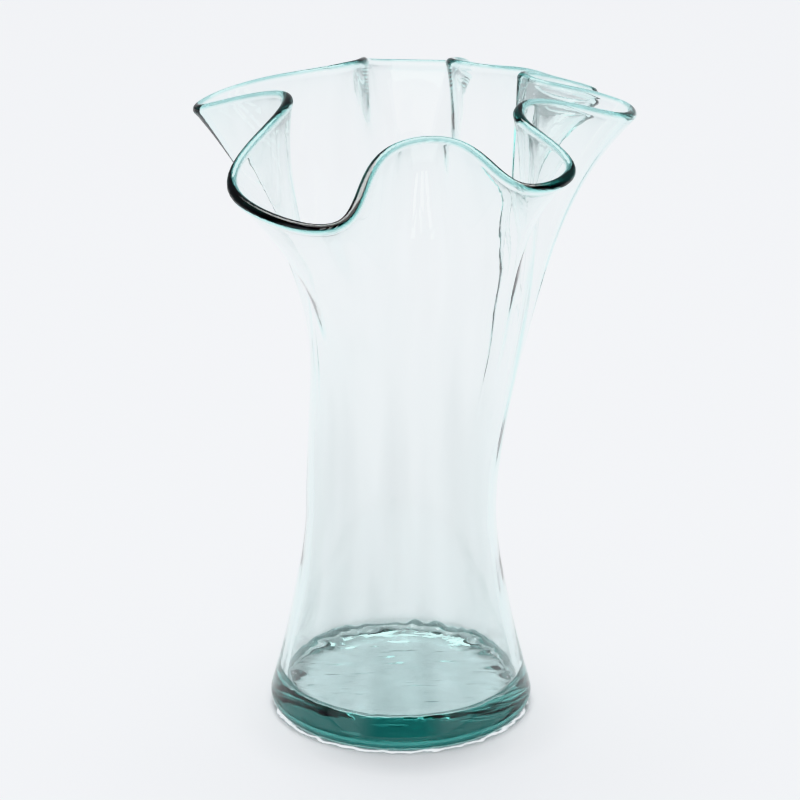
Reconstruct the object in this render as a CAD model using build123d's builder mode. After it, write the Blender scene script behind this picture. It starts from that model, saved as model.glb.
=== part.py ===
from build123d import *
import os
from math import cos, hypot, pi, radians, sin, sqrt

# Fan vase of thick, faintly green blown glass: a solid foot, a round body drawn in to a waist,
# a throat that opens above it, a fan of deep pleats, and a fire-polished bead along the ruffled rim.
# Millimetres, +Z up, origin at the middle of the flat underside, front towards -Y.

os.makedirs("parts", exist_ok=True)

# Foot: the gather at the base, pressed flat to stand on
rest_diameter = 105.0  # flat underside
foot_bulge = 3.8  # how far the foot's widest line stands out past it
foot_edge_height = 6.0  # height of that widest line
foot_thickness = 13.0  # underside to inner floor

# Body: the round wall, drawn in from the foot to the waist
waist_diameter = 81.4
waist_height = 88.0
wall_thickness = 3.2  # from the waist up
root_thickness = 4.8  # where the wall runs into the foot
foot_sweep_power = 1.4  # how late the wall turns out to the foot

# Throat and fan: the wall above the waist, opened to the mouth and pleated
fan_height = 168.0  # where the throat ends and the pleats stand out
mouth_diameter = 140.0  # the mouth's mean, halfway between lobes and folds
lean = 6.4  # how far the middle of the wall stands to the right of the foot
mouth_sweep_power = 2.1  # how late it opens to the mouth

# Rim: six lobes and six folds on a dome, the lobes' tips drooping below the folds
lobe_reach = 100.0
fold_reach = 50.0
dome_radius = 238.0
dome_height = 40.4  # the dome's centre above the table
dome_right = 2.5  # and its place off the axis
bead_diameter = 5.2
bead_seat = 1.6  # how far below the bead's middle it meets the wall

# Round the rim from the front, rightwards: two marks to a bend, each a bearing in degrees
# and a share of the reach
fold_shares = [
    ((-5, 1.27), (23, 1.22)), ((62, 1.10), (83, 1.10)), ((117, 1.26), (125.5, 1.26)),
    ((141, 1.08), (152, 1.04)), ((203, 1.00), (219, 0.96)), ((265, 1.00), (290.5, 1.05)),
]
lobe_shares = [
    ((32, 0.925), (48.5, 0.91)), ((98, 0.935), (115, 1.02)), ((129, 1.055), (138, 1.07)),
    ((164, 0.96), (186, 0.95)), ((244, 0.87), (254, 0.885)), ((318, 0.99), (347, 1.06)),
]
fold_powers = [3.5, 5.5, 5.0, 6.0, 6.0, 3.5]  # how late each fold and lobe rises out of the round wall
lobe_powers = [5.0, 3.5, 5.5, 6.0, 4.0, 3.5]

# How finely the pleats are followed
columns_per_mark = 6
columns_per_bend = 2  # of the bead
body_levels = 6
upper_levels = 10

foot_diameter = rest_diameter + 2 * foot_bulge
foot_radius = foot_diameter / 2
waist_radius = waist_diameter / 2
mouth_radius = mouth_diameter / 2
dome_top = dome_height + dome_radius
trim_radius = dome_radius - bead_seat


def sweep_share(height):
    """0 at the waist, 1 at the foot's widest line."""
    share = (waist_height - height) / (waist_height - foot_edge_height)
    return max(share, 0) ** foot_sweep_power


def outer_radius(height):
    """The round outside of the glass, from the foot up to the waist."""
    return waist_radius + (foot_radius - waist_radius) * sweep_share(height)


def thickness(height):
    return wall_thickness + (root_thickness - wall_thickness) * sweep_share(height)


def on_dome(point):
    """Lifts a point of the rim's plan onto the dome."""
    across = hypot(point.X - dome_right, point.Y)
    return Vector(point.X, point.Y, dome_height + sqrt(dome_radius**2 - across**2))


# The rim's plan: a closed curve with two marks to each fold and each lobe
mark_bearings = []
mark_powers = []
rim_marks = []
for fold, fold_power, lobe, lobe_power in zip(fold_shares, fold_powers, lobe_shares, lobe_powers):
    for bend, power, reach in ((fold, fold_power, fold_reach), (lobe, lobe_power, lobe_reach)):
        for bearing, share in bend:
            angle = radians(bearing)
            mark_bearings.append(angle)
            mark_powers.append(power)
            rim_marks.append(Vector(reach * share * sin(angle), -reach * share * cos(angle)))

with BuildLine() as rim_plan:
    Spline(*rim_marks, periodic=True)

# Columns of the wall: each rim point, the bearing where its pleat runs out in the round wall, its power.
# There the pleats are evened out, so each mark takes the mean of its own and its neighbours' bearings.
mark_count = len(rim_marks)
turn_bearings = [b - 2 * pi for b in mark_bearings] + mark_bearings + [b + 2 * pi for b in mark_bearings]
root_bearings = [
    (turn_bearings[k - 1] + 2 * turn_bearings[k] + turn_bearings[k + 1]) / 4
    for k in range(mark_count, 2 * mark_count + 1)
]
mark_places = [rim_plan.edge().param_at_point(mark) for mark in rim_marks[1:]]
mark_places = [0, *mark_places, 1]

rim_columns = []
for k in range(mark_count):
    for step in range(columns_per_mark):
        share = step / columns_per_mark
        place = mark_places[k] + (mark_places[k + 1] - mark_places[k]) * share
        root_bearing = root_bearings[k] + (root_bearings[k + 1] - root_bearings[k]) * share
        power = mark_powers[k] + (mark_powers[(k + 1) % mark_count] - mark_powers[k]) * share
        rim_columns.append((on_dome(rim_plan.edge() @ place), root_bearing, power))

column_turns = [k / len(rim_columns) for k in range(len(rim_columns) + 1)]


def column_point(rim_point, root_bearing, power, height):
    """Where the middle of the wall stands at one height, below one point of the rim."""
    outwards = Vector(sin(root_bearing), -cos(root_bearing))
    round_radius = outer_radius(height) - thickness(height) / 2
    rise = max(height - waist_height, 0) / (rim_point.Z - waist_height)
    spread = (mouth_radius - round_radius) * rise**mouth_sweep_power
    pleat = (Vector(rim_point.X, rim_point.Y) - outwards * mouth_radius) * rise**power
    return outwards * (round_radius + spread) + pleat + Vector(lean, 0) * sin(pi * min(rise, 1)) ** 2


def wall_line(height, side):
    """The outline of the wall's outer (side 1) or inner (side -1) face at one height."""
    middle = [column_point(*column, height) for column in rim_columns]
    points = []
    for before, here, after in zip(middle[-1:] + middle[:-1], middle, middle[1:] + middle[:1]):
        along = (after - before).normalized()
        points.append(here + Vector(along.Y, -along.X) * side * thickness(height) / 2)
    return Edge.make_spline(points, periodic=True, parameters=column_turns)


# Foot
with BuildPart() as foot:
    with BuildSketch(Plane.XZ):
        with BuildLine():
            rest_edge = (rest_diameter / 2, 0)
            widest = (foot_radius, foot_edge_height)
            half_height = (foot_edge_height + foot_thickness) / 2
            shoulder = (outer_radius(foot_thickness), foot_thickness)
            Line((0, 0), rest_edge)
            TangentArc(widest, rest_edge, tangent=(0, -1))
            ThreePointArc(widest, (outer_radius(half_height), half_height), shoulder)
            Polyline(shoulder, (0, foot_thickness), (0, 0))
        make_face()
    revolve(axis=Axis.Z)

foot.part.label = "foot"
export_step(foot.part, "parts/foot.step")

# Body: a round wall from the inner floor to the waist
body_step = (waist_height - foot_thickness) / body_levels
body_heights = [foot_thickness + body_step * k for k in range(body_levels + 1)]

with BuildPart() as body:
    with BuildSketch(Plane.XZ):
        with BuildLine():
            outside = Spline(*[(outer_radius(h), h) for h in body_heights])
            inside = Spline(*[(outer_radius(h) - thickness(h), h) for h in body_heights])
            Line(outside @ 0, inside @ 0)
            Line(outside @ 1, inside @ 1)
        make_face()
    revolve(axis=Axis.Z)

body.part.label = "body"
export_step(body.part, "parts/body.step")

# Throat and fan: hollow sections from the waist to the top of the dome, trimmed under the bead
upper_step = (dome_top - waist_height) / upper_levels

with BuildPart() as upper_wall:
    for level in range(upper_levels + 1):
        section_height = waist_height + upper_step * level
        with BuildSketch(Plane.XY.offset(section_height)):
            with BuildLine():
                add(wall_line(section_height, 1))
            make_face()
            with BuildLine():
                add(wall_line(section_height, -1))
            make_face(mode=Mode.SUBTRACT)
    loft()
    with Locations((dome_right, 0, dome_height)):
        Sphere(trim_radius, mode=Mode.INTERSECT)

with BuildPart() as throat:
    add(upper_wall.part)
    split(bisect_by=Plane.XY.offset(fan_height), keep=Keep.BOTTOM)

throat.part.label = "throat"
export_step(throat.part, "parts/throat.step")

with BuildPart() as fan:
    add(upper_wall.part)
    split(bisect_by=Plane.XY.offset(fan_height), keep=Keep.TOP)

fan.part.label = "fan"
export_step(fan.part, "parts/fan.step")

# Rim: a round bead along the fan's edge, in arcs that meet smoothly, seated on the trimmed fan
rim_points = [column[0] for column in rim_columns[::columns_per_bend]]
with BuildLine() as rim_line:
    Spline(*rim_points, periodic=True)

rim_tangents = [rim_line.edge().tangent_at(point) for point in rim_points]


def meeting_point(start, start_tangent, end, end_tangent):
    """Where two arcs of one bend meet, one leaving the start and one reaching the end."""
    span = end - start
    along = span.dot(start_tangent + end_tangent)
    turn = 2 * (1 - start_tangent.dot(end_tangent))
    reach = (sqrt(along**2 + turn * span.dot(span)) - along) / turn
    return (start + end + (start_tangent - end_tangent) * reach) / 2


with BuildPart() as rim:
    half = len(rim_points) // 2
    for first in (0, half):
        with BuildLine() as bead_line:
            for k in range(first, first + half):
                start, end = rim_points[k], rim_points[(k + 1) % len(rim_points)]
                start_tangent, end_tangent = rim_tangents[k], rim_tangents[(k + 1) % len(rim_points)]
                meeting = meeting_point(start, start_tangent, end, end_tangent)
                leaving = TangentArc(start, meeting, tangent=start_tangent)
                TangentArc(meeting, end, tangent=leaving % 1)
        with BuildSketch(Plane(origin=rim_points[first], z_dir=rim_tangents[first])):
            Circle(bead_diameter / 2)
        sweep()
    with Locations((dome_right, 0, dome_height)):
        Sphere(trim_radius, mode=Mode.SUBTRACT)

rim.part.label = "rim"
export_step(rim.part, "parts/rim.step")
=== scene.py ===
import math

import bpy
import numpy as np
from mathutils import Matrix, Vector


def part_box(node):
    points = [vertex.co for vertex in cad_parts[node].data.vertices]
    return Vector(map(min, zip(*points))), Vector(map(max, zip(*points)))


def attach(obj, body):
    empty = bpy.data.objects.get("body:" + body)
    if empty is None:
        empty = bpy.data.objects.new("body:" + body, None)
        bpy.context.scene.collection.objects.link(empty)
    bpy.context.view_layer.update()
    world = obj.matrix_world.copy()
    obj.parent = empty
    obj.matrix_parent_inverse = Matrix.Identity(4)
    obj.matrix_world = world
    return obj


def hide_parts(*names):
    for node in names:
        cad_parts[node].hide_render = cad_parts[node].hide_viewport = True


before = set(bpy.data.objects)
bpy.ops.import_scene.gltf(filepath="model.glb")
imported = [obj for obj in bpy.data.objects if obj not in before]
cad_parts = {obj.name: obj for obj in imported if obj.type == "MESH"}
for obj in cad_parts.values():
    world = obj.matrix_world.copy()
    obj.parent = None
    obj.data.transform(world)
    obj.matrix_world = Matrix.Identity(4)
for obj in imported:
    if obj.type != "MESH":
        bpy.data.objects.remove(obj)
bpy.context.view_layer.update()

# Rim line: the mouth of the hot vase was drawn out by hand into six drooping lobes with a fold
# between each pair, and its edge was melted round in the fire. All the glass hangs from this line.
mm = 0.001
lobe_reach = 100 * mm
fold_reach = 50 * mm
dome_radius = 238 * mm  # the lobes droop along a dome
dome_centre = np.array((2.5, 0, 40.4)) * mm
steps_per_mark = 12

# Round the rim from the front, rightwards: two marks to a bend, each a bearing in degrees
# and a share of the reach
fold_shares = [
    ((-5, 1.27), (23, 1.22)), ((62, 1.10), (83, 1.10)), ((117, 1.26), (125.5, 1.26)),
    ((141, 1.08), (152, 1.04)), ((203, 1.00), (219, 0.96)), ((265, 1.00), (290.5, 1.05)),
]
lobe_shares = [
    ((32, 0.925), (48.5, 0.91)), ((98, 0.935), (115, 1.02)), ((129, 1.055), (138, 1.07)),
    ((164, 0.96), (186, 0.95)), ((244, 0.87), (254, 0.885)), ((318, 0.99), (347, 1.06)),
]
fold_powers = (3.5, 5.5, 5.0, 6.0, 6.0, 3.5)  # how late each fold and lobe rises out of the round wall
lobe_powers = (5.0, 3.5, 5.5, 6.0, 4.0, 3.5)

bearings, marks, powers = [], [], []
for fold, fold_power, lobe, lobe_power in zip(fold_shares, fold_powers, lobe_shares, lobe_powers):
    for bend, power, reach in ((fold, fold_power, fold_reach), (lobe, lobe_power, lobe_reach)):
        for bearing, share in bend:
            angle = math.radians(bearing)
            bearings.append(angle)
            powers.append(power)
            marks.append(reach * share * np.array((math.sin(angle), -math.cos(angle))))
bearings, marks = np.array(bearings), np.array(marks)
mark_count = len(marks)

# The bend of the line at each mark, so that it runs on evenly through all of them and closes
gaps = np.linalg.norm(np.roll(marks, -1, axis=0) - marks, axis=1)
slopes = (np.roll(marks, -1, axis=0) - marks) / gaps[:, None]
shares = np.zeros((mark_count, mark_count))
for k in range(mark_count):
    shares[k, k - 1] = gaps[k - 1]
    shares[k, k] = 2 * (gaps[k - 1] + gaps[k])
    shares[k, (k + 1) % mark_count] = gaps[k]
bends = np.linalg.solve(shares, 6 * (slopes - np.roll(slopes, 1, axis=0)))

# Low down the pleats are evened out: each mark takes the mean of its own and its neighbours' bearings
turned = np.concatenate(([bearings[-1] - 2 * math.pi], bearings, bearings[:2] + 2 * math.pi))
root_bearings = (turned[:-2] + 2 * turned[1:-1] + turned[2:]) / 4

rim_points, rim_roots, rim_powers = [], [], []
for k in range(mark_count):
    after, gap = (k + 1) % mark_count, gaps[k]
    for share in np.arange(steps_per_mark) / steps_per_mark:
        rest = 1 - share
        x, y = (
            rest * marks[k] + share * marks[after]
            + gap**2 / 6 * ((rest**3 - rest) * bends[k] + (share**3 - share) * bends[after])
        )
        off_axis = math.hypot(x - dome_centre[0], y - dome_centre[1])
        rim_points.append((x, y, dome_centre[2] + math.sqrt(dome_radius**2 - off_axis**2)))
        rim_roots.append(rest * root_bearings[k] + share * root_bearings[k + 1])
        rim_powers.append(rest * powers[k] + share * powers[after])


def line_mesh(name, points, **values):
    """A mesh of loose points that carry named values, for a tree to read."""
    mesh = bpy.data.meshes.new(name)
    mesh.from_pydata(points, [], [])
    for key, column in values.items():
        mesh.attributes.new(key, "FLOAT", "POINT").data.foreach_set("value", np.array(column, np.float32))
    made = bpy.data.objects.new(name, mesh)
    bpy.context.collection.objects.link(made)
    return made


vase = line_mesh("vase_glass", rim_points, root_bearing=rim_roots, pleat_power=rim_powers)

# Glass section: the blown wall is one skin that runs from the middle of the underside round the foot,
# up the outside, over the fire-polished bead, down the inside and across the floor to the middle.
# Each row of the skin says where it lies; on the wall that is measured from the middle of the glass.
foot_low, foot_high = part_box("foot")
foot_radius = (foot_high.x - foot_low.x) / 2
floor_height = foot_high.z
foot_edge_height = 6 * mm
rest_radius = 52.5 * mm
waist_radius = 40.7 * mm
waist_height = 88 * mm
wall_thickness = 3.2 * mm
fan_thickness = 2.0 * mm  # drawn thinner towards the rim
root_thickness = 4.8 * mm
lip_thickness = 4.8 * mm
lip_fade = 14 * mm  # how far below the rim the lip thins into the wall
foot_sweep = 1.4
bead_radius = 2.45 * mm
bead_sink_share = 0.4  # of its radius: the wall's rows crowd towards a line that far below its middle
corner_radius = 3 * mm
rim_height = float(np.mean([point[2] for point in rim_points]))
edge_rows, wall_rows, bead_rows, corner_rows = 14, 60, 26, 7
row_crowding = 1.25  # over 1: the wall's rows lie closer together towards the rim

# How far each face strays: in broad waves, in streaks drawn out up the wall and in small ripples
outer_wave, inner_wave = 0.15 * mm, -0.2 * mm  # opposite ways, so the wall is thicker in places
outer_streak, outer_streak_growth = 0.04 * mm, 0.2 * mm  # up to the waist, and more by the rim
inner_streak, inner_streak_growth = 0.1 * mm, 0.35 * mm
root_streak, root_streak_fade = 0.12 * mm, 20 * mm  # more on the outside near the floor
underside_ripple_share = 0.2  # of the hollow
edge_ripple, bead_ripple, floor_ripple = 0.06 * mm, 0.15 * mm, 0.15 * mm
corner_ripple, corner_ripple_growth = 1.0 * mm, 3.5 * mm  # jagged where the wall meets the floor
floor_edge_ripple, floor_edge_fade = 4 * mm, 8

section = []


def on_ring(radius, height, ripple):
    """A row of the foot or the floor."""
    section.append((0, 0, 0, 0, radius, height, 0, 0, ripple))


def on_wall(along, across, above=0.0, wave=0.0, streak=0.0, ripple=0.0):
    """A row of the wall or its bead, at a share of the way up from the foot's edge to the rim."""
    section.append((1, along, across, above, 0, 0, wave, streak, ripple))


def sweep_at(height):
    """0 from the waist up, 1 at the foot's widest line."""
    return max((waist_height - height) / (waist_height - foot_edge_height), 0) ** foot_sweep


def opened_at(height):
    """0 up to the waist, 1 at the rim."""
    return max(height - waist_height, 0) / (rim_height - waist_height)


def thickness_at(height):
    wall = wall_thickness + (fan_thickness - wall_thickness) * opened_at(height)
    lip = (lip_thickness - fan_thickness) * math.exp((height - rim_height) / lip_fade)
    return wall + lip + (root_thickness - wall_thickness) * sweep_at(height)


def outer_radius_at(height):
    return waist_radius + (foot_radius - waist_radius) * sweep_at(height)


# Underside, a little hollow, in shares of the way out and millimetres deep
for share, hollow in (
    (0, 0.6), (0.12, 0.6), (0.24, 0.55), (0.34, 0.5), (0.46, 0.5), (0.58, 0.5), (0.70, 0.5), (0.80, 0.5),
    (0.88, 0.45), (0.93, 0.35), (0.96, 0.2), (0.98, 0.05), (0.99, 0),
):
    on_ring(rest_radius * share, hollow * mm, underside_ripple_share * hollow * mm)

# Rounded edge of the foot, up to where the wall starts; its ripples never reach the table
edge_inset = foot_radius - rest_radius
edge_radius = (edge_inset**2 + foot_edge_height**2) / (2 * edge_inset)
edge_start = -math.asin(foot_edge_height / edge_radius)
edge_end = math.atan(foot_sweep * (foot_radius - waist_radius) / (waist_height - foot_edge_height))
for angle in np.linspace(edge_start, edge_end, edge_rows):
    edge_reach = foot_radius - edge_radius * (1 - math.cos(angle))
    edge_height = foot_edge_height + edge_radius * math.sin(angle)
    on_ring(edge_reach, edge_height, min(edge_ripple, edge_height / 2))
shoulder_height = edge_height
shoulder = edge_reach - outer_radius_at(shoulder_height)

# Outside of the wall
span = rim_height - foot_edge_height
first_along = (shoulder_height - foot_edge_height) / span
last_along = 1 - bead_sink_share * bead_radius / span
row_shares = 1 - (1 - np.arange(1, wall_rows) / wall_rows) ** row_crowding
alongs = first_along + (last_along - first_along) * row_shares
for along in alongs:
    height = foot_edge_height + span * along
    swell = shoulder * math.exp((shoulder_height - height) / foot_edge_height)
    near_floor = math.exp(-((height - floor_height) / root_streak_fade) ** 2)
    streak = outer_streak + outer_streak_growth * opened_at(height) + root_streak * near_floor
    on_wall(along, thickness_at(height) / 2 + swell, wave=outer_wave, streak=streak)

# Bead, from where it leaves the outside of the wall to where it meets the inside
bead_start = -math.acos(lip_thickness / 2 / bead_radius)
for angle in np.linspace(bead_start, math.pi - bead_start, bead_rows):
    on_wall(1, bead_radius * math.cos(angle), bead_radius * math.sin(angle), ripple=bead_ripple)

# Inside of the wall, the corner at its root, and the floor
corner_height = floor_height + corner_radius
for along in reversed(alongs):
    height = foot_edge_height + span * along
    if height > corner_height:
        streak = inner_streak + inner_streak_growth * opened_at(height)
        on_wall(along, -thickness_at(height) / 2, wave=inner_wave, streak=streak)
inner_radius = outer_radius_at(corner_height) - thickness_at(corner_height)
for angle in np.linspace(0, math.pi / 2, corner_rows):
    on_ring(
        inner_radius - corner_radius * (1 - math.cos(angle)),
        corner_height - corner_radius * math.sin(angle),
        corner_ripple + corner_ripple_growth * math.sin(angle),
    )
for share in (0.97, 0.93, 0.88, 0.82, 0.75, 0.66, 0.55, 0.43, 0.3, 0.15, 0):
    jagged = floor_edge_ripple * share**floor_edge_fade
    on_ring((inner_radius - corner_radius) * share, floor_height, floor_ripple + jagged)

fields = ("on_wall", "along", "across", "above", "ring_radius", "ring_height", "wave", "streak", "ripple")
section_values = dict(zip(fields, np.array(section).T))
section_line = line_mesh("glass_section", [(0, 0, k * mm) for k in range(len(section))], **section_values)


def add(tree, kind, inputs=(), **settings):
    """Adds one node with its settings; its inputs, by place or by name, are values, nodes or sockets."""
    made = tree.nodes.new(kind)
    for name, value in settings.items():
        setattr(made, name, value)
    for key, value in inputs.items() if isinstance(inputs, dict) else enumerate(inputs):
        if isinstance(value, bpy.types.Node):
            value = value.outputs[0]
        if isinstance(value, bpy.types.NodeSocket):
            tree.links.new(value, made.inputs[key])
        else:
            made.inputs[key].default_value = value
    return made


# The wall's middle: where it stands below one point of the rim, at one share of the way up
sizes = {
    "Foot radius": foot_radius,
    "Foot edge height": foot_edge_height,
    "Foot sweep": foot_sweep,
    "Root thickness": root_thickness,
    "Wall thickness": wall_thickness,
    "Waist radius": waist_radius,
    "Waist height": waist_height,
    "Mouth radius": 70 * mm,
    "Mouth sweep": 2.1,
    "Lean": 6.4 * mm,
    "Rim height": rim_height,
}
middle = bpy.data.node_groups.new("Middle of the wall", "GeometryNodeTree")
middle_inputs = {"Rim": "Geometry", "Column": "Int", "Along": "Float", **dict.fromkeys(sizes, "Float")}
for name, kind in middle_inputs.items():
    middle.interface.new_socket(name, in_out="INPUT", socket_type="NodeSocket" + kind)
middle.interface.new_socket("Place", in_out="OUTPUT", socket_type="NodeSocketVector")
given = middle.nodes.new("NodeGroupInput").outputs
MATH, VECTOR = "ShaderNodeMath", "ShaderNodeVectorMath"

rim_place = add(middle, "GeometryNodeSampleIndex", {
    "Geometry": given["Rim"], "Value": add(middle, "GeometryNodeInputPosition"), "Index": given["Column"],
}, data_type="FLOAT_VECTOR")
of_column = {}
for name in ("root_bearing", "pleat_power"):
    attribute = add(middle, "GeometryNodeInputNamedAttribute", {"Name": name}, data_type="FLOAT")
    of_column[name] = add(middle, "GeometryNodeSampleIndex", {
        "Geometry": given["Rim"], "Value": attribute, "Index": given["Column"],
    }, data_type="FLOAT")
root = of_column["root_bearing"]
rim_x, rim_y, rim_z = add(middle, "ShaderNodeSeparateXYZ", (rim_place,)).outputs

# Level rows near the foot, that bend with the rim near the top
level_span = add(middle, MATH, (given["Rim height"], given["Foot edge height"]), operation="SUBTRACT")
level = add(middle, MATH, (given["Along"], level_span, given["Foot edge height"]), operation="MULTIPLY_ADD")
bend = add(middle, MATH, (rim_z, given["Rim height"]), operation="SUBTRACT")
cubed = add(middle, MATH, (given["Along"], 3), operation="POWER")
height = add(middle, MATH, (bend, cubed, level), operation="MULTIPLY_ADD")

# The round wall, drawn in from the foot to the waist
below = add(middle, MATH, (given["Waist height"], height), operation="SUBTRACT")
depth = add(middle, MATH, (given["Waist height"], given["Foot edge height"]), operation="SUBTRACT")
below = add(middle, MATH, (add(middle, MATH, (below, depth), operation="DIVIDE"), 0), operation="MAXIMUM")
sweep = add(middle, MATH, (below, given["Foot sweep"]), operation="POWER")
extra = add(middle, MATH, (given["Root thickness"], given["Wall thickness"]), operation="SUBTRACT")
thickness = add(middle, MATH, (extra, sweep, given["Wall thickness"]), operation="MULTIPLY_ADD")
spread = add(middle, MATH, (given["Foot radius"], given["Waist radius"]), operation="SUBTRACT")
outside = add(middle, MATH, (spread, sweep, given["Waist radius"]), operation="MULTIPLY_ADD")
round_radius = add(middle, MATH, (thickness, -0.5, outside), operation="MULTIPLY_ADD")

# Above the waist it opens to the mouth, and the pleats grow out of it
above = add(middle, MATH, (height, given["Waist height"]), operation="SUBTRACT")
above = add(middle, MATH, (above, 0), operation="MAXIMUM")
reach = add(middle, MATH, (rim_z, given["Waist height"]), operation="SUBTRACT")
rise = add(middle, MATH, (above, reach), operation="DIVIDE")
opened = add(middle, MATH, (rise, given["Mouth sweep"]), operation="POWER")
forward = add(middle, MATH, (add(middle, MATH, (root,), operation="COSINE"), -1), operation="MULTIPLY")
pleated = add(middle, MATH, (rise, of_column["pleat_power"]), operation="POWER")
flare = add(middle, MATH, (given["Mouth radius"], round_radius), operation="SUBTRACT")
radius = add(middle, MATH, (flare, opened, round_radius), operation="MULTIPLY_ADD")
outwards = add(middle, "ShaderNodeCombineXYZ", (add(middle, MATH, (root,), operation="SINE"), forward))
on_mouth = add(middle, VECTOR, {0: outwards, "Scale": given["Mouth radius"]}, operation="SCALE")
rim_plan = add(middle, "ShaderNodeCombineXYZ", (rim_x, rim_y))
pleat = add(middle, VECTOR, (rim_plan, on_mouth), operation="SUBTRACT")
pleat = add(middle, VECTOR, {0: pleat, "Scale": pleated}, operation="SCALE")
plan = add(middle, VECTOR, {0: outwards, "Scale": radius}, operation="SCALE")
plan = add(middle, VECTOR, (plan, pleat), operation="ADD")

# Between the waist and the rim it leans a little to the right
turn = add(middle, MATH, (add(middle, MATH, (rise, 1), operation="MINIMUM"), math.pi), operation="MULTIPLY")
leaning = add(middle, MATH, (add(middle, MATH, (turn,), operation="SINE"), 2), operation="POWER")
leaning = add(middle, MATH, (leaning, given["Lean"]), operation="MULTIPLY")
lifted = add(middle, "ShaderNodeCombineXYZ", (leaning, 0, height))
place = add(middle, VECTOR, (plan, lifted), operation="ADD")
add(middle, "NodeGroupOutput", (place,))

# The glass: a grid with a column for each point of the rim and a row for each point of the section
lengths = {"Wave length": 45 * mm, "Streak length": 12 * mm, "Ripple length": 8 * mm}
skin = bpy.data.node_groups.new("Blown glass", "GeometryNodeTree")
skin_inputs = {
    "Rim": "Geometry", "Section": "Object", "Glass": "Material",
    **dict.fromkeys((*sizes, *lengths), "Float"),
}
for name, kind in skin_inputs.items():
    skin.interface.new_socket(name, in_out="INPUT", socket_type="NodeSocket" + kind)
skin.interface.new_socket("Vase", in_out="OUTPUT", socket_type="NodeSocketGeometry")
given = skin.nodes.new("NodeGroupInput").outputs
INTEGER = "FunctionNodeIntegerMath"

columns = add(skin, "GeometryNodeAttributeDomainSize", (given["Rim"],), component="MESH")
section_info = add(skin, "GeometryNodeObjectInfo", {"Object": given["Section"]}).outputs["Geometry"]
rows = add(skin, "GeometryNodeAttributeDomainSize", (section_info,), component="MESH")
closing = add(skin, INTEGER, (columns, 1), operation="ADD")
grid = add(skin, "GeometryNodeMeshGrid", {"Vertices X": closing, "Vertices Y": rows})
index = add(skin, "GeometryNodeInputIndex")
column = add(skin, INTEGER, (index, rows), operation="DIVIDE_FLOOR")
row = add(skin, INTEGER, (index, rows), operation="FLOORED_MODULO")
of_row = {}
for name in fields:
    attribute = add(skin, "GeometryNodeInputNamedAttribute", {"Name": name}, data_type="FLOAT")
    of_row[name] = add(skin, "GeometryNodeSampleIndex", {
        "Geometry": section_info, "Value": attribute, "Index": row,
    }, data_type="FLOAT")


def middle_at(column_step, along_step):
    """The wall's middle, a few columns and a little way up from each point of the grid."""
    beside = add(skin, INTEGER, (column, column_step), operation="ADD")
    beside = add(skin, INTEGER, (beside, columns), operation="FLOORED_MODULO")
    along = add(skin, MATH, (of_row["along"], along_step), operation="ADD")
    return add(skin, "GeometryNodeGroup", {
        "Rim": given["Rim"], "Column": beside, "Along": along, **{name: given[name] for name in sizes},
    }, node_tree=middle)


# Up the wall, round it and square to it, from four points close by
near = 0.004  # share of the way up
higher, lower = middle_at(0, near), middle_at(0, -near)
up = add(skin, VECTOR, (higher, lower), operation="SUBTRACT")
up = add(skin, VECTOR, (up,), operation="NORMALIZE")
on = add(skin, VECTOR, (middle_at(1, 0), middle_at(-1, 0)), operation="SUBTRACT")
square = add(skin, VECTOR, (on, up), operation="CROSS_PRODUCT")
square = add(skin, VECTOR, (square,), operation="NORMALIZE")
centre = add(skin, VECTOR, (higher, lower), operation="ADD")
centre = add(skin, VECTOR, {0: centre, "Scale": 0.5}, operation="SCALE")
sideways = add(skin, VECTOR, {0: square, "Scale": of_row["across"]}, operation="SCALE")
upwards = add(skin, VECTOR, {0: up, "Scale": of_row["above"]}, operation="SCALE")
offset = add(skin, VECTOR, (sideways, upwards), operation="ADD")
wall_place = add(skin, VECTOR, (centre, offset), operation="ADD")

# Rows of the foot and floor are rings
ring_root = add(skin, "GeometryNodeInputNamedAttribute", {"Name": "root_bearing"}, data_type="FLOAT")
wrapped = add(skin, INTEGER, (column, columns), operation="FLOORED_MODULO")
ring_bearing = add(skin, "GeometryNodeSampleIndex", {
    "Geometry": given["Rim"], "Value": ring_root, "Index": wrapped,
}, data_type="FLOAT")
ring_forward = add(skin, MATH, (ring_bearing,), operation="COSINE")
ring_forward = add(skin, MATH, (ring_forward, -1), operation="MULTIPLY")
ring_right = add(skin, MATH, (ring_bearing,), operation="SINE")
ring_way = add(skin, "ShaderNodeCombineXYZ", (ring_right, ring_forward))
ring_plan = add(skin, VECTOR, {0: ring_way, "Scale": of_row["ring_radius"]}, operation="SCALE")
ring_lift = add(skin, "ShaderNodeCombineXYZ", (0, 0, of_row["ring_height"]))
ring_place = add(skin, VECTOR, (ring_plan, ring_lift), operation="ADD")
even = add(skin, "GeometryNodeSwitch", (of_row["on_wall"], ring_place, wall_place), input_type="VECTOR")
face_way = add(skin, "GeometryNodeSwitch", (of_row["on_wall"], (0, 0, 1), square), input_type="VECTOR")

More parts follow.
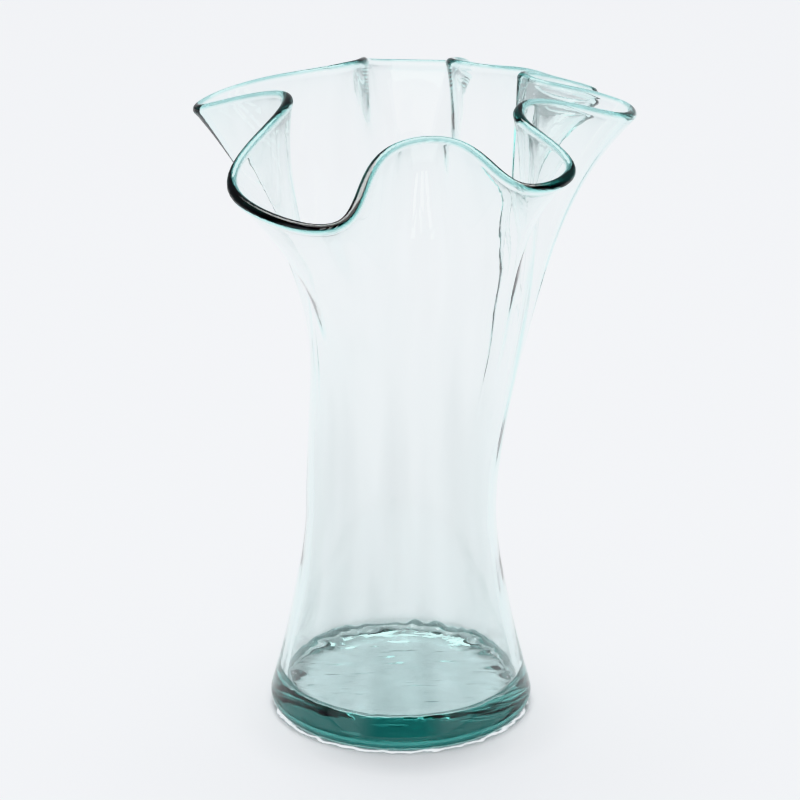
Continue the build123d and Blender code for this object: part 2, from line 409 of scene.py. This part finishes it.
# Hand-blown glass is nowhere quite even: broad waves, streaks drawn out up the wall to about three
# times their width, and small ripples, which are calmer at the front
even_height = add(skin, "ShaderNodeSeparateXYZ", (even,)).outputs["Z"]
drawn = add(skin, MATH, (even_height, 0.3), operation="MULTIPLY")
drawn = add(skin, "ShaderNodeCombineXYZ", (0, 0, drawn))
round_waist = add(skin, VECTOR, {0: ring_way, "Scale": given["Waist radius"]}, operation="SCALE")
drawn = add(skin, VECTOR, (round_waist, drawn), operation="ADD")
rough = add(skin, "ShaderNodeMapRange", {
    "Value": ring_forward, "From Min": -0.7, "From Max": 0.2, "To Min": 0.25, "To Max": 1.0,
})
rippled = add(skin, MATH, (of_row["ripple"], rough), operation="MULTIPLY")
unevenness = 0.0
for name, amount, spot in zip(lengths, (of_row["wave"], of_row["streak"], rippled), (even, drawn, even)):
    scale = add(skin, MATH, (1, given[name]), operation="DIVIDE")
    noise = add(skin, "ShaderNodeTexNoise", {"Vector": spot, "Scale": scale, "Detail": 1.0})
    signed = add(skin, MATH, (noise, 2, -1), operation="MULTIPLY_ADD")
    unevenness = add(skin, MATH, (signed, amount, unevenness), operation="MULTIPLY_ADD")
moved = add(skin, VECTOR, {0: face_way, "Scale": unevenness}, operation="SCALE")
uneven = add(skin, VECTOR, (even, moved), operation="ADD")

shaped = add(skin, "GeometryNodeSetPosition", {"Geometry": grid.outputs["Mesh"], "Position": uneven})
closed = add(skin, "GeometryNodeMergeByDistance", {"Geometry": shaped, "Distance": 0.01 * mm})
smooth = add(skin, "GeometryNodeSetShadeSmooth", {"Geometry": closed})
whole = add(skin, "GeometryNodeRealizeInstances", {"Geometry": smooth})
finished = add(skin, "GeometryNodeSetMaterial", {"Geometry": whole, "Material": given["Glass"]})
add(skin, "NodeGroupOutput", (finished,))


def colour(code):
    """An sRGB hex colour as linear RGBA."""
    parts = [int(code[k:k + 2], 16) / 255 for k in (1, 3, 5)]
    return (*[p / 12.92 if p <= 0.04045 else ((p + 0.055) / 1.055) ** 2.4 for p in parts], 1)


# Soda-lime glass from mixed cullet, blown and fire-polished: clear with a blue-green cast from iron,
# hardly seen through the wall and deep where the eye looks along the glass, in the bead and the foot.
body_cast = colour("#E3E2E2")
fan_cast = colour("#FFFDFD")
# Painted shade: the deeper teal painted on the bead's crest and the foot's edge
painted_deep_tint = colour("#6FA09E")
glass = bpy.data.materials.new("Soda-lime glass, blown, blue-green")
glass.use_nodes = True
tree = glass.node_tree
tree.nodes.clear()
at = add(tree, "ShaderNodeTexCoord").outputs["Object"]
at_x, at_y, at_z = add(tree, "ShaderNodeSeparateXYZ", (at,)).outputs
flat = add(tree, "ShaderNodeCombineXYZ", (at_x, at_y))
off_middle = add(tree, VECTOR, (flat,), operation="LENGTH").outputs["Value"]

# The polished skin is uneven over 9 mm, and the floor has wrinkles about 15 mm long and 5 mm wide
peel = add(tree, "ShaderNodeTexNoise", {"Vector": at, "Scale": 1 / (9 * mm), "Detail": 2.0})
bump = add(tree, "ShaderNodeBump", {"Height": peel, "Strength": 0.05, "Distance": 0.3 * mm})
squeezed = add(tree, VECTOR, (at, (0.4, 1.3, 1.3)), operation="MULTIPLY")
wrinkle = add(tree, "ShaderNodeTexNoise", {"Vector": squeezed, "Scale": 1 / (6 * mm), "Detail": 1.0})
wrinkle = add(tree, "ShaderNodeMapRange", {"Value": wrinkle, "From Min": 0.6, "From Max": 0.72},
              interpolation_type="SMOOTHSTEP")
on_floor = add(tree, MATH, (at_z, floor_height, 1.5 * mm), operation="COMPARE")
inside = add(tree, MATH, (off_middle, 0.85 * inner_radius), operation="LESS_THAN")
on_floor = add(tree, MATH, (on_floor, inside), operation="MULTIPLY")
wrinkle = add(tree, MATH, (wrinkle, on_floor), operation="MULTIPLY")
bump = add(tree, "ShaderNodeBump", {
    "Height": wrinkle, "Strength": 0.25, "Distance": 0.5 * mm, "Normal": bump,
})

# Streaks 14 mm wide of clearer and greyer base colour run far up the wall, partly cords in the glass and
# partly painted reflection streaks; the fan is clear nearly all over
drawn_up = add(tree, VECTOR, (at, (1, 1, 0.08)), operation="MULTIPLY")
painted_streaks = add(tree, "ShaderNodeTexNoise", {"Vector": drawn_up, "Scale": 1 / (14 * mm), "Detail": 1.0})
clear = add(tree, "ShaderNodeMapRange", {
    "Value": at_z, "From Min": waist_height, "From Max": 0.75 * rim_height, "To Min": -0.5, "To Max": 0.2,
}, interpolation_type="SMOOTHSTEP")
# Painted reflection streaks mixed into the clear-to-grey share of the base colour
clear = add(tree, MATH, (painted_streaks, 1.6, clear), operation="MULTIPLY_ADD", use_clamp=True)
thin_cast_and_painted_streaks = add(tree, "ShaderNodeMix", {0: clear, 6: body_cast, 7: fan_cast}, data_type="RGBA").outputs[2]

# Painted shade: the crest of the bead and the edge of the foot get a deeper teal base colour, standing for
# the tint of light that runs along inside the glass there
from_dome = add(tree, VECTOR, (at, dome_centre), operation="DISTANCE").outputs["Value"]
in_bead = add(tree, "ShaderNodeMapRange", {
    "Value": from_dome, "From Min": dome_radius + 0.4 * mm, "From Max": dome_radius + 1.6 * mm,
})
in_foot = add(tree, "ShaderNodeMapRange", {
    "Value": at_z, "From Min": 1.4 * floor_height, "From Max": 0.8 * floor_height, "To Max": 0.35,
})
at_edge = add(tree, "ShaderNodeMapRange", {
    "Value": off_middle, "From Min": inner_radius, "From Max": rest_radius,
})
painted_deep_share = add(tree, MATH, (in_foot, at_edge), operation="MULTIPLY")
painted_deep_share = add(tree, MATH, (painted_deep_share, in_bead), operation="MAXIMUM")
cast = add(tree, "ShaderNodeMix", {0: painted_deep_share, 6: thin_cast_and_painted_streaks, 7: painted_deep_tint}, data_type="RGBA").outputs[2]
shader = add(tree, "ShaderNodeBsdfPrincipled", {
    "Base Color": cast, "Roughness": 0.0, "IOR": 1.52, "Transmission Weight": 1.0, "Normal": bump,
})
depth_tint = add(tree, "ShaderNodeVolumeAbsorption", {"Color": colour("#30D1CB"), "Density": 20.0})
add(tree, "ShaderNodeOutputMaterial", {"Surface": shader, "Volume": depth_tint})

blowing = vase.modifiers.new("Blowing", "NODES")
blowing.node_group = skin
inputs = {"Section": section_line, "Glass": glass, **sizes, **lengths}
for item in skin.interface.items_tree:
    if item.in_out == "INPUT" and item.name in inputs:
        blowing[item.identifier] = inputs[item.name]
blown = bpy.data.meshes.new_from_object(vase.evaluated_get(bpy.context.evaluated_depsgraph_get()))
vase.modifiers.remove(blowing)
vase.data = blown
bpy.data.objects.remove(section_line)

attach(vase, "root")
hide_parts("foot", "body", "throat", "fan", "rim")

# Table: a plain pale sheet of matt board, lit from above. Its glow is painted light: a pool of it under the
# foot, where the glass would gather light, a thin broken painted glint round the foot's edge, a faint glow
# further out, and a ring of painted contact shadow in between.
table_half = 4.0  # far past the view
table_drop = 0.05 * mm  # below the vase, so that the two faces stay apart
# Painted light: how strongly the board glows under the foot, further out, and in the glint line round the
# foot
painted_glow_under_foot, painted_glow_further_out, painted_glint_strength = 1.0, 0.16, 0.9
line_radius, line_wander = 56.5 * mm, 5 * mm  # the line strays inwards from this radius
board = bpy.data.materials.new("Matt board, pale grey, painted glow")
board.use_nodes = True
tree = board.node_tree
tree.nodes.clear()
at = add(tree, "ShaderNodeTexCoord").outputs["Object"]
grit = add(tree, "ShaderNodeTexNoise", {"Vector": at, "Scale": 1 / (2 * mm), "Detail": 2.0})
bump = add(tree, "ShaderNodeBump", {"Height": grit, "Strength": 0.02, "Distance": 0.05 * mm})
off_middle = add(tree, VECTOR, (at,), operation="LENGTH").outputs["Value"]
# Painted contact shadow: no glow close round the foot, then a faint glow further out
painted_glow_outside = add(tree, "ShaderNodeMapRange", {
    "Value": off_middle, "From Min": 62 * mm, "From Max": 92 * mm, "To Max": painted_glow_further_out,
}, interpolation_type="SMOOTHSTEP")
# Painted pool of light under the foot, where the glass would gather it
painted_glow = add(tree, "ShaderNodeMapRange", {
    "Value": off_middle, "From Min": 40 * mm, "From Max": 52 * mm,
    "To Min": painted_glow_under_foot, "To Max": painted_glow_outside,
}, interpolation_type="SMOOTHSTEP")
# Painted glint: a thin bright glowing line that wanders round the foot's edge
broken = add(tree, "ShaderNodeTexNoise", {"Vector": at, "Scale": 1 / (6 * mm), "Detail": 2.0})
from_line = add(tree, MATH, (broken, line_wander, -line_radius), operation="MULTIPLY_ADD")
from_line = add(tree, MATH, (from_line, off_middle), operation="ADD")
from_line = add(tree, MATH, (from_line,), operation="ABSOLUTE")
painted_glint_line = add(tree, "ShaderNodeMapRange", {
    "Value": from_line, "From Min": 0.2 * mm, "From Max": 1.0 * mm, "To Min": painted_glint_strength, "To Max": 0.0,
})
painted_glow = add(tree, MATH, (painted_glow, painted_glint_line), operation="ADD")
shader = add(tree, "ShaderNodeBsdfPrincipled", {
    "Base Color": colour("#E6E7E9"), "Roughness": 0.8, "Normal": bump,
    "Emission Color": colour("#F4F6FA"), "Emission Strength": painted_glow,
})
add(tree, "ShaderNodeOutputMaterial", {"Surface": shader})
sheet = bpy.data.meshes.new("table")
corners = [(x * table_half, y * table_half, 0) for x, y in ((-1, -1), (1, -1), (1, 1), (-1, 1))]
sheet.from_pydata(corners, [], [(0, 1, 2, 3)])
sheet.materials.append(board)
table = bpy.data.objects.new("table", sheet)
table.location.z = -table_drop
bpy.context.collection.objects.link(table)

# Light: a dim room with pale sheets behind the vase, brightest low down, and to both sides in front;
# a soft box overhead, a bigger and higher one over the backdrop and three tall strips in front.
scene = bpy.context.scene
room = bpy.data.worlds.new("Room with lit sheets")
room.use_nodes = True
tree = room.node_tree
tree.nodes.clear()
way = add(tree, "ShaderNodeTexCoord").outputs["Generated"]
side, back, high = add(tree, "ShaderNodeSeparateXYZ", (way,)).outputs
side = add(tree, MATH, (side,), operation="ABSOLUTE")

# Each sheet brightens along one direction, from and to two values of it, between two strengths,
# and ends along others, each with the value where nothing is left and the one where all of it is
sheets = (
    (high, (0.34, 0.14), (0.35, 0.5), ((back, -0.3, 0.2),)),
    (side, (0.3, 0.7), (0.0, 1.5), ((back, -0.2, -0.5), (high, 0.75, 0.35))),
)
glow = 0.14  # of the room itself
for value, (dim_at, lit_at), (least, most), ends in sheets:
    lit = add(tree, "ShaderNodeMapRange", {
        "Value": value, "From Min": dim_at, "From Max": lit_at, "To Min": least, "To Max": most,
    }, interpolation_type="SMOOTHSTEP")
    for end, none_at, all_at in ends:
        within = add(tree, "ShaderNodeMapRange", {"Value": end, "From Min": none_at, "From Max": all_at},
                     interpolation_type="SMOOTHSTEP")
        lit = add(tree, MATH, (lit, within), operation="MULTIPLY")
    glow = add(tree, MATH, (lit, glow), operation="ADD")
around = add(tree, "ShaderNodeBackground", {"Color": colour("#F4F6FA"), "Strength": glow})
add(tree, "ShaderNodeOutputWorld", {"Surface": around})
scene.world = room


def turned_to(place, aim):
    """The turn that points a light or the camera from its place to its aim."""
    way = np.array(aim) - np.array(place)
    return math.acos(-way[2] / np.linalg.norm(way)), 0, math.atan2(-way[0], way[1])


def soft_box(name, place, aim, width, height, watts):
    """A rectangle of soft light."""
    light = bpy.data.lights.new(name, "AREA")
    light.shape = "RECTANGLE"
    light.size, light.size_y, light.energy = width, height, watts
    made = bpy.data.objects.new(name, light)
    made.location = place
    made.rotation_euler = turned_to(place, aim)
    bpy.context.collection.objects.link(made)


soft_box("overhead", (0.0, 0.0, 1.2), aim=(0, 0, 0), width=1.2, height=0.9, watts=8)
soft_box("backdrop", (0.0, 1.2, 2.6), aim=(0, 1.2, 0), width=2.0, height=1.2, watts=62)
for across in (-0.6, -0.15, 0.4):
    soft_box("front strip", (across, -1.5, 1.3), aim=(0, 0, 0.2), width=0.18, height=1.1, watts=4)

# Camera: a long lens, well back from the vase and above its rim, that looks down at about 21 degrees.
# The light may pass through many faces of glass before it is given up.
eye = (0.0, -1.9, 0.88)
aim = (-0.0004, 0.0, 0.1391)
lens = bpy.data.cameras.new("camera")
lens.sensor_width = 36
lens.lens = 216.5
lens.clip_start = 0.1
camera = bpy.data.objects.new("camera", lens)
camera.location = eye
camera.rotation_euler = turned_to(eye, aim)
bpy.context.collection.objects.link(camera)
scene.camera = camera
scene.view_settings.view_transform = "Khronos PBR Neutral"
scene.cycles.max_bounces = 32
scene.cycles.transmission_bounces = 32
scene.cycles.glossy_bounces = 12
scene.cycles.use_denoising = True
